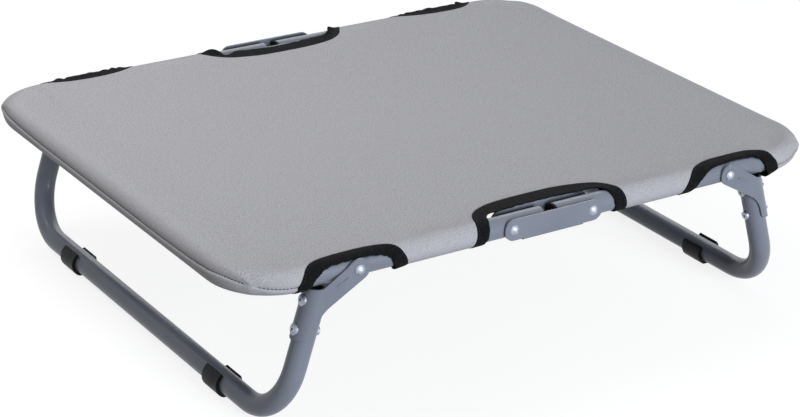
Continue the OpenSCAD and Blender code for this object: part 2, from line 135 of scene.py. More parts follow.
CENTRE_CUTS = {
    ("left", "front"): [(0, -33.4), (24, -33), (42, -31.5), (55, -29), (65.5, -25), (73.5, -20),
                        (79.5, -13.5), (83.5, -6.5), (86.2, 0.5), (89, 9.5), (92.5, 26)],
    ("left", "rear"): [(0, -33.4), (22, -32.8), (38, -30.8), (50, -28), (62, -24.5), (72, -19.5),
                       (80, -12.5), (86, -5.5), (90.5, 1), (93.5, 9.5), (97, 26)],
    ("right", "front"): [(0, -33.4), (22, -33), (38, -31.2), (54, -27.8), (66, -23.6), (74.8, -18.6),
                         (80.6, -12), (84.4, -3.3), (86.8, 5), (89, 15), (91, 26)],
    ("right", "rear"): [(0, -33.4), (24, -33), (42, -31.6), (57, -29), (68, -25.5), (78, -19.5),
                        (85.5, -12), (90.5, -4), (94, 2), (97, 9.5), (101, 26)],
}

# How far each tape's free edge stands off, and its lumps: x, half the length, and the height
TAPE_RISE = {
    ("left", "front", "leg"): 0.2,
    ("left", "rear", "leg"): 1.7,
    ("right", "front", "leg"): 0.2,
    ("right", "rear", "leg"): 1.5,
    ("left", "front", "centre"): 0.2,
    ("left", "rear", "centre"): 0.4,
    ("right", "front", "centre"): 0.2,
    ("right", "rear", "centre"): 0.4,
}
TAPE_LUMPS = {
    ("left", "front", "leg"): [(182, 5, 0.7), (206, 6, 0.5), (259, 6, 0.6)],
    ("left", "rear", "leg"): [(274, 3, -0.8), (266, 4, 1.6), (259, 2.5, -1.4), (213, 3, -0.5),
                              (207, 4, 1.0), (201, 2, -0.6), (195, 3.5, 1.6), (189.5, 2, -0.7),
                              (184, 4, 1.8)],
    ("right", "front", "leg"): [(186, 6, 0.6), (238, 7, 0.5), (266, 6, 0.7)],
    ("right", "rear", "leg"): [(180, 3, 1.2), (184, 2, -0.8), (188, 2.5, 0.7), (212, 3, -0.4),
                               (218, 4, 1.1), (262, 3, -0.5), (269, 3.5, 2.0), (275, 2, -0.6)],
    ("left", "front", "centre"): [(80, 6, 0.4)],
    ("left", "rear", "centre"): [(84, 8, 2.4), (66, 5, -0.6)],
    ("right", "front", "centre"): [(62, 7, 0.9), (80, 5, 0.4)],
    ("right", "rear", "centre"): [(80, 3, 2.4), (84.5, 2, -0.8), (90, 4, 2.6)],
}
# Where a tape's end hangs off the tube on its free side: x from and to, and how far
TAPE_HANG = {
    ("left", "front", "leg"): (180, 172, 1.4),
    ("right", "front", "leg"): (262, 276, 4.0),
}
# Where a tape is gathered narrower: x, half the length, and the share that is lost
TAPE_PINCH = {("left", "rear", "centre"): (70, 8, 0.55)}

# The seam: how far round the corner, and its place round the tube in degrees there
SEAM_PATH = [(-0.8, 98), (-0.2, 102), (0.12, 106), (0.3, 99), (0.46, 84), (0.6, 73), (0.78, 64),
             (1.0, 67.5), (1.3, 74), (1.9, 79), (2.6, 79)]
# The relief across it: s from the seam, and the lift
SEAM_PROFILE = [(-16, 0), (-11, 0.35), (-7, 0.75), (-4, 0.7), (-2, 0.2), (-0.9, -0.25), (0, -0.75),
                (0.5, -0.5), (1.1, 0.35), (1.8, 0.9), (2.8, 1.0), (4.5, 0.75), (8, 0.35), (13, 0)]
# The gathered fold at each corner: how far round the corner its tip is, and the tip's height
CORNER_TIPS = {
    ("left", "front"): (0.48, 1.8),
    ("left", "rear"): (0.66, 3.0),
    ("right", "front"): (0.50, 3.0),
    ("right", "rear"): (0.50, 2.4),
}


def smooth(t):
    """A soft step from 0 to 1."""
    t = np.clip(t, 0, 1)
    return t * t * (3 - 2 * t)


def hill(x, place, half_length):
    """A smooth hump of height 1."""
    return np.exp(-(((x - place) / half_length) ** 2))


def ripple(u, v, seed):
    """A smooth, fixed unevenness between about -1 and 1, with waves about one unit long."""
    total = np.zeros(np.broadcast(u, v).shape)
    for k in range(5):
        turn = 1.7 * seed + 2.399 * k
        wave = (4.1 + 1.3 * k) * (u * math.cos(turn) + v * math.sin(turn))
        total = total + np.sin(wave + 3.1 * seed + 1.9 * k) / (1 + 0.5 * k)
    return total / 2.6


def spline(points, step):
    """Points about a step apart on a smooth curve through the given ones."""
    pts = np.array(points, float)
    pts = np.vstack([2 * pts[0] - pts[1], pts, 2 * pts[-1] - pts[-2]])
    out = []
    for a, b, c, d in zip(pts[:-3], pts[1:-2], pts[2:-1], pts[3:]):
        count = max(2, round(np.linalg.norm(c - b) / step))
        t = (np.arange(count) / count)[:, None]
        bend = (2 * a - 5 * b + 4 * c - d) * t**2 + (3 * b - a - 3 * c + d) * t**3
        out.append(0.5 * (2 * b + (c - a) * t + bend))
    return np.vstack([*out, pts[-2]])


SEAM_LINE = spline(SEAM_PATH, 1.0)
SEAM_SHAPE = spline(SEAM_PROFILE, 0.1)


def plan(p):
    """Where a half's tube runs, and the way out of the bed there, for the right half."""
    p = np.asarray(p, float)
    q = np.minimum(p, LENGTH - p)
    way = np.where(p > LENGTH / 2, -1.0, 1.0)
    turn = np.clip((q - RUN) / BEND_R, 0, math.pi / 2)
    x = np.minimum(q, RUN) + BEND_R * np.sin(turn)
    y = -(RAIL_Y - BEND_R) - BEND_R * np.cos(turn) + np.maximum(q - RUN - ARC, 0)
    return x, way * y, np.sin(turn), -way * np.cos(turn)


def corner_place(p):
    """How far a point is round its corner: 0 where the rail ends, 1 where the end bar starts."""
    return (np.minimum(p, LENGTH - p) - RUN) / ARC


def seam_s(p):
    """Where the seam runs across the cloth: low on the rails and higher on the end bar."""
    return CLOTH_R * np.radians(np.interp(corner_place(p), SEAM_LINE[:, 0], SEAM_LINE[:, 1]))


def sheet_height(x, y):
    """How far the stretched sheet lies above or below a flat one."""
    span = np.clip(1 - (x / DIP_X) ** 4, 0, 1) * np.clip(1 - (y / DIP_Y) ** 4, 0, 1)
    depth = RAIL_Y - np.abs(y)
    at_centre = smooth((CENTRE_REACH - np.abs(x)) / 50)
    edge = at_centre * smooth((95 - depth) / 60) * smooth((depth - 4) / 9)
    long_folds = 0.22 * ripple(x / 150, y / 190, 3) * span
    short_folds = 0.10 * ripple(x / 45, y / 70, 5) * np.sqrt(span)
    folds = long_folds + short_folds
    return -SHEET_DIP * span - EDGE_SAG * edge - TROUGH * trough(x, y) + folds


def trough(x, y):
    """A shallow trough just inside the tube, where no cut-out is."""
    x, y = np.abs(x), np.abs(y)
    into_x = np.maximum(BEND_R - END_X + x, 0)
    into_y = np.maximum(BEND_R - RAIL_Y + y, 0)
    at_bend = (into_x > 0) & (into_y > 0)
    depth = np.where(at_bend, BEND_R - np.hypot(into_x, into_y), np.minimum(END_X - x, RAIL_Y - y))
    start, end = LEG_REACH
    at_leg = smooth((x - start) / 20) * (1 - smooth((x - end) / 15))
    at_centre = smooth((CENTRE_REACH - x) / 25)
    return (1 - smooth((depth - 14) / 60)) * (1 - at_centre) * (1 - at_leg)


def corner_lift(half, p, s):
    """The gathered fold of cloth at a corner: a ridge that rises to a tip on the corner's outside."""
    tip_s, climb, blunt = 14.5, 8.5, 0.8
    front = p < LENGTH / 2
    tips = zip(CORNER_TIPS[half, "front"], CORNER_TIPS[half, "rear"])
    tip, height = (np.where(front, *pair) for pair in tips)
    away = np.abs(corner_place(p) - tip)
    from_ridge = s - (tip_s - climb * (1 - np.exp(-away / 0.13)))
    fall = np.where(from_ridge > 0, 7.0 - 3.8 * smooth(away / 0.25), 3.2)
    across = np.exp(-(np.hypot(from_ridge, blunt) - blunt) / fall)
    return (height * np.exp(-away / 0.085) + 1.2 * hill(away, 0, 0.42)) * across


def cloth_lift(half, p, s):
    """How far the cloth's middle stands off its plain wrap: the seam's relief and the corners' folds.

    The relief fades out along the rails and at the corners' tips.
    """
    front, rear = (CORNER_TIPS[half, rail][0] for rail in RAILS)
    away = corner_place(p) - np.where(p < LENGTH / 2, front, rear)
    relief = np.interp(s - seam_s(p), SEAM_SHAPE[:, 0], SEAM_SHAPE[:, 1])
    from_rail = smooth((corner_place(p) + 1.1) / 0.6)
    relief = relief * from_rail * (1 - 0.75 * hill(away, 0, 0.09))
    return relief + corner_lift(half, p, s)


def cloth_point(p, s, lift):
    """A point of the right half's cloth, lifted off its plain wrap."""
    x, y, nx, ny = plan(p)
    s = np.asarray(s, float)
    wrap = np.clip(s, 0, S_WRAP) / CLOTH_R
    flap = np.clip(s - S_WRAP, 0, FLAP)
    hem = np.maximum(s - S_WRAP - FLAP, 0)
    facing = np.where(hem > 0, math.pi, wrap)
    out = CLOTH_R * np.sin(wrap) + np.minimum(s, 0) + flap * math.cos(WRAP_END) - hem
    out = out + lift * np.sin(facing)
    up = CLOTH_R * np.cos(wrap) - flap * math.sin(WRAP_END) + lift * np.cos(facing)
    px = x + nx * out
    py = y + ny * out
    slack = np.where(s < 1, smooth((1 - s) / 14), smooth(flap / FLAP))
    return np.stack([px, py, RAIL_Z + up + slack * sheet_height(px, py)], axis=-1)


def cut_outline(half, rail, kind):
    """The whole edge where fabric meets tape, carried on round the tube and along the flap."""
    points = (LEG_CUTS if kind == "leg" else CENTRE_CUTS)[half, rail]
    x0, x1 = points[0][0], points[-1][0]
    end = S_WRAP + FLAP - 4
    tail = [(x1 + 3.5, 44), (x1 + 5, 60), (x1 + 5.5, end)]
    head = [(x0 - 5.5, end), (x0 - 5, 60), (x0 - 3.5, 44)] if kind == "leg" else []
    return spline([*head, *points, *tail], CUT_STEP)


def inward(line):
    """The unit direction from the fabric edge towards the free edge, at each point of an outline."""
    d = np.gradient(line, axis=0)
    d[0] = line[1] - line[0]
    d /= np.linalg.norm(d, axis=1)[:, None]
    return np.stack([-d[:, 1], d[:, 0]], axis=1)


def tape_width(line, half, rail, kind):
    """The tape's width at each point of its outline, a little uneven along its free edge."""
    x = np.abs(line[:, 0])
    uneven = 0.8 * ripple(x / 7, line[:, 1] / 7, len(half) + len(rail)) * smooth((x - 8) / 20)
    if kind == "leg":
        return TAPE_W + uneven
    widest = CENTRE_TAPE_W[rail]
    width = widest + (TAPE_W - widest) * smooth((x - 50) / 32)
    place, half_length, loss = TAPE_PINCH.get((half, rail, kind), (0, 1, 0))
    return width * (1 - loss * hill(x, place, half_length)) + uneven


def inside(points, polygon):
    """Which points lie in a polygon."""
    x, y = points[:, 0], points[:, 1]
    hit = np.zeros(len(points), bool)
    for (x0, y0), (x1, y1) in zip(polygon, np.roll(polygon, -1, axis=0)):
        if y0 != y1:
            hit ^= ((y0 > y) != (y1 > y)) & (x < (x1 - x0) * (y - y0) / (y1 - y0) + x0)
    return hit


def make_mesh(name, points, faces, material, uv=None, sharp=38):
    """A smooth mesh from millimetres, with hard edges where faces turn by more than sharp degrees."""
    mesh = bpy.data.meshes.new(name)
    mesh.from_pydata((np.asarray(points) * MM).tolist(), [], [tuple(map(int, f)) for f in faces])
    if uv is not None:
        layer = mesh.uv_layers.new(name="cloth")
        index = np.zeros(len(mesh.loops), np.int32)
        mesh.loops.foreach_get("vertex_index", index)
        layer.data.foreach_set("uv", np.asarray(uv, np.float32)[index].ravel())
    mesh.polygons.foreach_set("use_smooth", np.ones(len(mesh.polygons), bool))
    mesh.update()
    mesh.set_sharp_from_angle(angle=math.radians(sharp))
    mesh.materials.append(material)
    obj = bpy.data.objects.new(name, mesh)
    bpy.context.scene.collection.objects.link(obj)
    return obj


def shader(name):
    material = bpy.data.materials.new(name)
    material.use_nodes = True
    tree = material.node_tree
    tree.nodes.clear()
    return material, tree


def add(tree, kind, inputs=None, **settings):
    """Adds a node, sets its properties, and sets or links its inputs."""
    node = tree.nodes.new("ShaderNode" + kind)
    for key, value in settings.items():
        setattr(node, key, value)
    for key, value in (inputs or {}).items():
        if isinstance(value, bpy.types.NodeSocket):
            tree.links.new(value, node.inputs[key])
        else:
            node.inputs[key].default_value = value
    return node


def math_node(tree, operation, *values):
    return add(tree, "Math", dict(enumerate(values)), operation=operation).outputs[0]


def scaled(tree, vector, *scale):
    return add(tree, "VectorMath", {0: vector, 1: scale}, operation="MULTIPLY").outputs[0]


def noise(tree, vector, scale, detail=2.0, roughness=0.5):
    inputs = {"Vector": vector, "Scale": scale, "Detail": detail, "Roughness": roughness}
    return add(tree, "TexNoise", inputs).outputs["Fac"]


def mixed(tree, factor, a, b):
    """A mix of two colours, each given as three numbers or as a socket."""
    node = add(tree, "Mix", data_type="RGBA")
    for socket, value in zip((node.inputs[0], node.inputs[6], node.inputs[7]), (factor, a, b)):
        if isinstance(value, bpy.types.NodeSocket):
            tree.links.new(value, socket)
        else:
            socket.default_value = (*value, 1) if isinstance(value, tuple) else value
    return node.outputs[2]


def spread(tree, value, low, high, to_low=0.0, to_high=1.0):
    return add(tree, "MapRange", {"Value": value, 1: low, 2: high, 3: to_low, 4: to_high}).outputs[0]


def bumped(tree, height, strength, distance, normal=None):
    inputs = {"Strength": strength, "Distance": distance, "Height": height}
    if normal is not None:
        inputs["Normal"] = normal
    return add(tree, "Bump", inputs).outputs[0]


def rounded(tree, radius):
    """A normal with slightly rounded edges."""
    return add(tree, "Bevel", {"Radius": radius}, samples=4).outputs[0]


def edge_wear(tree, soft, sharp):
    """How near an edge a point is, from how far its rounded normal turns."""
    face = add(tree, "NewGeometry").outputs["Normal"]
    same = add(tree, "VectorMath", {0: soft, 1: face}, operation="DOT_PRODUCT").outputs["Value"]
    return spread(tree, same, 0.985, sharp)


def gap_shade(tree, colour, distance, share, dark):
    """A colour with painted shade: it turns dark where a point is deep in a gap."""
    near = add(tree, "AmbientOcclusion", {"Distance": distance}, samples=8)
    depth = spread(tree, near.outputs["AO"], 0.74, 0.28)
    return mixed(tree, math_node(tree, "MULTIPLY", depth, share), colour, dark)


def finish_shader(tree, inputs):
    bsdf = add(tree, "BsdfPrincipled", inputs)
    add(tree, "OutputMaterial", {0: bsdf.outputs[0]})


def fabric_material():
    """A fine plain weave of light and darker grey yarns, with painted shade between the yarns and in
    creases.
    """
    material, tree = shader("cover_weave")
    yarns_per_mm = 1 / YARN_PITCH
    uv = add(tree, "UVMap", uv_map="cloth").outputs[0]
    grid = scaled(tree, uv, yarns_per_mm, yarns_per_mm, 0)
    parts = add(tree, "SeparateXYZ", {0: grid})
    u, v = parts.outputs[0], parts.outputs[1]
    cell = math_node(tree, "ADD", math_node(tree, "FLOOR", u), math_node(tree, "FLOOR", v))
    over = math_node(tree, "FLOORED_MODULO", cell, 2.0)
    waves = (math_node(tree, "SINE", math_node(tree, "MULTIPLY", axis, math.pi)) for axis in (u, v))
    hump_u, hump_v = (math_node(tree, "ABSOLUTE", wave) for wave in waves)
    warp = math_node(tree, "MULTIPLY", hump_u, math_node(tree, "SQRT", hump_v))
    weft = math_node(tree, "MULTIPLY", hump_v, math_node(tree, "SQRT", hump_u))
    height = add(tree, "Mix", {0: over, 2: warp, 3: weft}, data_type="FLOAT").outputs[0]
    warp_tone = noise(tree, scaled(tree, grid, 1.0, 0.07, 1), 0.9, 3.0)
    weft_tone = noise(tree, scaled(tree, grid, 0.07, 1.0, 1), 0.9, 3.0)
    yarn = add(tree, "Mix", {0: over, 2: warp_tone, 3: weft_tone}, data_type="FLOAT").outputs[0]
    tone = spread(tree, yarn, 0.32, 0.68)
    colour = mixed(tree, tone, (0.330, 0.325, 0.342), (0.476, 0.469, 0.492))
    flat = add(tree, "SeparateXYZ", {0: uv})
    past_end, past_rail = (
        math_node(tree, "SUBTRACT", math_node(tree, "ABSOLUTE", flat.outputs[k]), edge)
        for k, edge in enumerate((END_X, RAIL_Y))
    )
    on_sleeve = math_node(tree, "MAXIMUM", past_end, past_rail)
    heather = spread(tree, on_sleeve, -4.0, 10.0, 0.72, 0.36)
    dark = spread(tree, noise(tree, uv, 0.62, 3.0, 0.7), 0.45, 0.58, 0.0, heather)
    colour = mixed(tree, dark, colour, (0.270, 0.266, 0.281))
    other_way = scaled(tree, uv, 1, -1, 1)
    pale = spread(tree, noise(tree, other_way, 0.70, 3.0, 0.7), 0.48, 0.60, 0.0, heather)
    colour = mixed(tree, pale, colour, (0.60, 0.592, 0.620))
    cloud = spread(tree, noise(tree, uv, 0.018, 3.0), 0.3, 0.7, 0.0, 0.16)
    colour = mixed(tree, cloud, colour, (0.44, 0.434, 0.456))
    # Painted shade: darker where the weave is low, between the yarns
    between = spread(tree, height, 0.0, 0.5, 0.22, 0.0)
    colour = mixed(tree, between, colour, (0.22, 0.217, 0.230))
    # Painted shade: darker in creases and where the cloth lies close to other parts
    colour = gap_shade(tree, colour, 0.0035, 0.8, (0.045, 0.045, 0.050))
    rough = spread(tree, yarn, 0.3, 0.7, 0.78, 0.92)
    normal = bumped(tree, height, 0.35, 0.00012)
    finish_shader(tree, {"Base Color": colour, "Roughness": rough, "Normal": normal,
                         "Sheen Weight": 0.10, "Sheen Roughness": 0.5, "Specular IOR Level": 0.25})
    return material


def tape_material():
    """Black woven tape with fine ribs across it, lint, pale flecks, slightly worn places and painted shade
    in the grooves between the ribs.
    """
    material, tree = shader("binding_weave")
    uv = add(tree, "UVMap", uv_map="cloth").outputs[0]
    parts = add(tree, "SeparateXYZ", {0: uv})
    ribs, fine = (
        math_node(tree, "SINE", math_node(tree, "MULTIPLY", parts.outputs[k], 2 * math.pi / pitch))
        for k, pitch in enumerate((1.3, 0.8))
    )
    weave = math_node(tree, "ADD", ribs, math_node(tree, "MULTIPLY", fine, 0.5))
    lint = noise(tree, uv, 1.4, 4.0, 0.65)
    height = math_node(tree, "ADD", weave, math_node(tree, "MULTIPLY", lint, 1.2))
    worn = spread(tree, noise(tree, uv, 0.22, 3.0), 0.35, 0.75, 0.0, 0.3)
    # Painted shade and highlight: the ribs' tops lighter, the grooves between them darker
    rib_shade = spread(tree, weave, -1.5, 1.5)
    colour = mixed(tree, rib_shade, (0.0024, 0.0024, 0.0027), (0.0066, 0.0066, 0.0073))
    colour = mixed(tree, worn, colour, (0.012, 0.012, 0.013))
    flecks = spread(tree, noise(tree, uv, 0.55, 3.0, 0.75), 0.52, 0.68, 0.0, 0.75)
    colour = mixed(tree, flecks, colour, (0.028, 0.028, 0.030))
    rough = spread(tree, lint, 0.3, 0.7, 0.72, 0.92)
    normal = bumped(tree, height, 0.6, 0.00022)
    finish_shader(tree, {"Base Color": colour, "Roughness": rough, "Normal": normal,
                         "Sheen Weight": 0.01, "Sheen Roughness": 0.4, "Specular IOR Level": 0.06})
    return material


def thread_material():
    """Dark sewing thread with a slight twist."""
    material, tree = shader("dark_thread")
    place = add(tree, "TexCoord").outputs["Object"]
    wave = {"Vector": place, "Scale": 900.0, "Distortion": 1.5}
    twist = add(tree, "TexWave", wave, bands_direction="DIAGONAL").outputs["Fac"]
    colour = mixed(tree, twist, (0.012, 0.012, 0.014), (0.034, 0.034, 0.038))
    rough = spread(tree, twist, 0, 1, 0.6, 0.8)
    finish_shader(tree, {"Base Color": colour, "Roughness": rough,
                         "Normal": bumped(tree, twist, 0.4, 0.0001), "Specular IOR Level": 0.15})
    return material


def coat_material():
    """Blue-grey powder coat: a slight orange peel, cloudy tone, paler worn edges and painted shade in gaps.
    """
    material, tree = shader("powder_coat")
    place = add(tree, "TexCoord").outputs["Object"]
    soft = rounded(tree, 0.0005)
    edge = edge_wear(tree, soft, 0.88)
    cloud = spread(tree, noise(tree, place, 22.0, 4.0), 0.3, 0.7)
    speck = spread(tree, noise(tree, place, 1400.0, 2.0), 0.62, 0.75, 0.0, 0.25)
    colour = mixed(tree, cloud, (0.171, 0.186, 0.227), (0.199, 0.217, 0.262))
    colour = mixed(tree, speck, colour, (0.26, 0.28, 0.33))
    patches = spread(tree, noise(tree, place, 160.0, 3.0), 0.42, 0.68, 0.0, 0.5)
    colour = mixed(tree, math_node(tree, "MULTIPLY", edge, patches), colour, (0.33, 0.345, 0.38))
    # Painted shade: dark in gaps and where parts lie close together
    colour = gap_shade(tree, colour, 0.007, 0.9, (0.012, 0.013, 0.016))
    finer = math_node(tree, "MULTIPLY", noise(tree, place, 1800.0), 0.4)
    peel = math_node(tree, "ADD", noise(tree, place, 520.0, 2.0), finer)
    rough = spread(tree, peel, 0.4, 1.0, 0.27, 0.37)
    normal = bumped(tree, peel, 0.03, 0.0004, soft)
    finish_shader(tree, {"Base Color": colour, "Roughness": rough, "Normal": normal,
                         "Specular IOR Level": 0.28})
    return material


def zinc_material():
    """Zinc plate with faint turning marks, small dull spots and painted shade in a line round each head."""
    material, tree = shader("zinc_plate")
    place = add(tree, "TexCoord").outputs["Object"]
    soft = rounded(tree, 0.0004)
    spots = noise(tree, place, 420.0, 4.0, 0.6)
    grain = noise(tree, scaled(tree, place, 6000.0, 500.0, 6000.0), 1.0)
    bright = spread(tree, spots, 0.30, 0.48)
    colour = mixed(tree, bright, (0.13, 0.145, 0.175), (0.39, 0.42, 0.48))
    # Painted shade: a dark line round each head and in other gaps
    colour = gap_shade(tree, colour, 0.005, 0.95, (0.05, 0.05, 0.055))
    rough = spread(tree, spots, 0.3, 0.7, 0.42, 0.60)
    finish_shader(tree, {"Base Color": colour, "Metallic": 1.0, "Roughness": rough,
                         "Normal": bumped(tree, grain, 0.15, 0.0002, soft)})
    return material


def plastic_material():
    """Moulded black plastic with a fine sparked texture and rubbed edges."""
    material, tree = shader("moulded_black")
    place = add(tree, "TexCoord").outputs["Object"]
    soft = rounded(tree, 0.0006)
    edge = edge_wear(tree, soft, 0.90)
    grain = noise(tree, place, 1500.0, 3.0, 0.6)
    dust = spread(tree, noise(tree, place, 60.0, 4.0), 0.45, 0.75)
    dusty = math_node(tree, "MULTIPLY", dust, 0.5)
    colour = mixed(tree, dusty, (0.005, 0.005, 0.0055), (0.011, 0.011, 0.012))
    rubbed = math_node(tree, "MULTIPLY", edge, 0.4)
    colour = mixed(tree, rubbed, colour, (0.028, 0.028, 0.030))
    rough = spread(tree, dust, 0, 1, 0.42, 0.58)
    normal = bumped(tree, grain, 0.25, 0.0002, soft)
    finish_shader(tree, {"Base Color": colour, "Roughness": rough, "Normal": normal,
                         "Specular IOR Level": 0.16})
    return material


FABRIC = fabric_material()
TAPE = tape_material()
THREAD = thread_material()
FINISHES = {
    "powder_coat": coat_material(),
    "zinc": zinc_material(),
    "black_plastic": plastic_material(),
    "cover_fabric": FABRIC,
    "binding_tape": TAPE,
}
for part in frame["record"]["subparts"]:
    node_mesh = frame["nodes"][part["node"]].data
    node_mesh.materials.clear()
    node_mesh.materials.append(FINISHES[part["material_slot"]])


def rail_p(x, rail):
    """The length p at an x on a rail."""
    return x if rail == "front" else LENGTH - x


def cloth_columns():
    """Lengths along a half's tube, the same for the front and the rear."""
    rail = np.linspace(0, RUN, RAIL_POINTS)
    corner = RUN + np.linspace(0, ARC, CORNER_POINTS)[1:]
    half_bar = RUN + ARC + np.linspace(0, BAR / 2, BAR_POINTS)[1:]
    front = np.concatenate([rail, corner, half_bar])
    return np.concatenate([front, LENGTH - front[-2::-1]])


def cloth_rows(p):
    """Lengths across the cloth at every column: close together at the seam, and right on it."""
    seam = seam_s(p)[:, None]
    flat = np.array([-STRIP, -40, -35, -30, -26, -22, -18, -14.5, -11, -8, -5.5, -3.5, -1.7, 0])
    at_seam = np.array([-2, -1.4, -1, -0.7, -0.4, -0.2, 0, 0.2, 0.4, 0.65, 0.95,
                        1.3, 1.7, 2.2, 2.8, 3.6, 4.6])
    before_seam = seam - 2.7
    past_seam = seam + at_seam[-1]
    flap = S_WRAP + FLAP * np.linspace(0, 1, 9)[1:]
    hem = S_WRAP + FLAP + HEM * np.linspace(0, 1, 4)[1:]
    steps = [
        np.broadcast_to(flat, (len(p), len(flat))),
        before_seam * np.linspace(0, 1, 15)[1:],
        seam + at_seam,
        past_seam + (S_WRAP - seam - at_seam[-1]) * np.linspace(0, 1, 10)[1:],
        np.broadcast_to(flap, (len(p), len(flap))),
        np.broadcast_to(hem, (len(p), len(hem))),
    ]
    return np.concatenate(steps, axis=1)


def cut_ring(half, rail, kind):
    """The part of the cloth that a cut-out takes away, with its edge well under the tape."""
    line = cut_outline(half, rail, kind)
    edge = line + inward(line) * (tape_width(line, half, rail, kind) * CUT_SHARE)[:, None]
    far = S_END + 20
    if kind == "centre":
        return np.vstack([edge, [[edge[-1, 0], far], [-5, far], [-5, edge[0, 1]]]])
    return np.vstack([[[edge[0, 0], far]], edge, [[edge[-1, 0], far]]])


def cover_half(half):
    """One half of the cover: a closed shell over the sheet, the tubes and the flaps below."""
    p = cloth_columns()
    s = cloth_rows(p)
    columns, rows = s.shape
    grid_p = np.broadcast_to(p[:, None], s.shape)
    shape = cloth_lift(half, grid_p, s)
    lifts = (shape + CLOTH_T / 2, np.maximum(shape - CLOTH_T / 2, LEAST_LIFT))
    x, y, nx, ny = plan(grid_p)
    flat = np.stack([x + nx * s, y + ny * s], axis=-1)

    scale = 1 - np.arange(1, SHEET_LOOPS) / SHEET_LOOPS
    inner = np.vstack([(flat[:, 0][None] * scale[:, None, None]).reshape(-1, 2), [[0, 0]]])
    shells = []
    for lift, half_t in zip(lifts, (CLOTH_T / 2, -CLOTH_T / 2)):
        z = RAIL_Z + CLOTH_R + half_t + sheet_height(inner[:, 0], inner[:, 1])
        sleeve = cloth_point(grid_p, s, lift).reshape(-1, 3)
        shells.append(np.vstack([sleeve, np.column_stack([inner, z])]))
    flat = np.vstack([flat.reshape(-1, 2), inner])

    i, j = np.meshgrid(np.arange(columns - 1), np.arange(rows - 1), indexing="ij")
    at = i * rows + j
    quads = np.stack([at, at + 1, at + rows + 1, at + rows], axis=-1).reshape(-1, 4)
    middle_s = (s[i, j] + s[i, j + 1] + s[i + 1, j] + s[i + 1, j + 1]) / 4
    middle = np.stack([(p[i] + p[i + 1]) / 2, middle_s], axis=-1).reshape(-1, 2)
    keep = np.ones(len(quads), bool)
    for rail in RAILS:
        local = np.column_stack([rail_p(middle[:, 0], rail), middle[:, 1]])
        for kind in ("leg", "centre"):
            keep &= ~inside(local, cut_ring(half, rail, kind))
    quads = quads[keep]
    first = columns * rows
    k, i = np.meshgrid(np.arange(SHEET_LOOPS - 2), np.arange(columns - 1), indexing="ij")
    at = first + k * columns + i
    sheet = np.stack([at + columns, at, at + 1, at + columns + 1], axis=-1).reshape(-1, 4)
    i = np.arange(columns - 1)
    border = np.stack([first + i, i * rows, (i + 1) * rows, first + i + 1], axis=-1)
    last = first + (SHEET_LOOPS - 2) * columns
    fan = np.stack([np.full(columns - 1, len(flat) - 1), last + i, last + i + 1], axis=-1)
    faces = [tuple(f) for part in (quads, sheet, border, fan) for f in part.tolist()]
    return closed_shell(f"{half}_cloth", shells, flat, faces, HALVES[half], FABRIC)


def closed_shell(name, shells, flat, faces, side, material):
    """Joins an outer and an inner surface along their free edges, and drops unused points.

    The faces point outwards on the right half, and the mirrored left half turns them round.
    """
    used = np.unique(np.concatenate([np.array(f) for f in faces]))
    index = np.full(len(flat), -1)
    index[used] = np.arange(len(used))
    faces = [tuple(int(index[a]) for a in f) for f in faces]
    count = len(used)
    edges = {(a, b) for f in faces for a, b in zip(f, f[1:] + f[:1])}
    rim = [(b, a, a + count, b + count) for a, b in edges if (b, a) not in edges]
    every = faces + [tuple(a + count for a in reversed(f)) for f in faces] + sorted(rim)
    points = np.vstack([shells[0][used], shells[1][used]]) * np.array([side, 1, 1])
    if side < 0:
        every = [tuple(reversed(f)) for f in every]
    uv = np.vstack([flat[used], flat[used]]) * np.array([side, 1])
    return make_mesh(name, points, every, material, uv)


# The tape's outline across, from the fabric edge over the free edge and back: the share of its width,
# and the lift
TAPE_SHARE = np.array([0, 0, 0.02, 0.07, 0.2, 0.35, 0.5, 0.65, 0.8, 0.9, 0.96, 0.99,
                       1, 0.99, 0.96, 0.9, 0.7, 0.4, 0.15, 0.03, 0])
TAPE_LIFT = np.array([0.2, 0.62, 0.95, 1.08, 1.12, TAPE_TOP, TAPE_TOP, 1.13, 1.1, 1.02, 0.85, 0.6,
                      0.2, -0.25, -0.55, -0.7, -0.75, -0.75, -0.75, -0.7, -0.45])


def tape_stand(half, rail, kind, x, s, share):
    """How far a tape stands off the cloth: its free edge's rise, its lumps and its hanging end."""
    x = np.broadcast_to(x, s.shape)
    free = smooth((share - 0.3) / 0.7)
    uneven = 0.25 * ripple(x / 11, share * 0.8, len(half) + 2 * len(rail))
    stand = TAPE_RISE[half, rail, kind] + uneven
    for place, half_length, height in TAPE_LUMPS[half, rail, kind]:
        stand = stand + height * hill(x, place, half_length)
    stand = stand * free * (1 - smooth((s - 12) / 14))
    if kind == "centre":
        stand = stand * smooth((x - 6) / 18)
    start, end, drop = TAPE_HANG.get((half, rail, kind), (0, 1, 0))
    return stand + drop * smooth((x - start) / (end - start)) * smooth((s - 16) / 10) * share


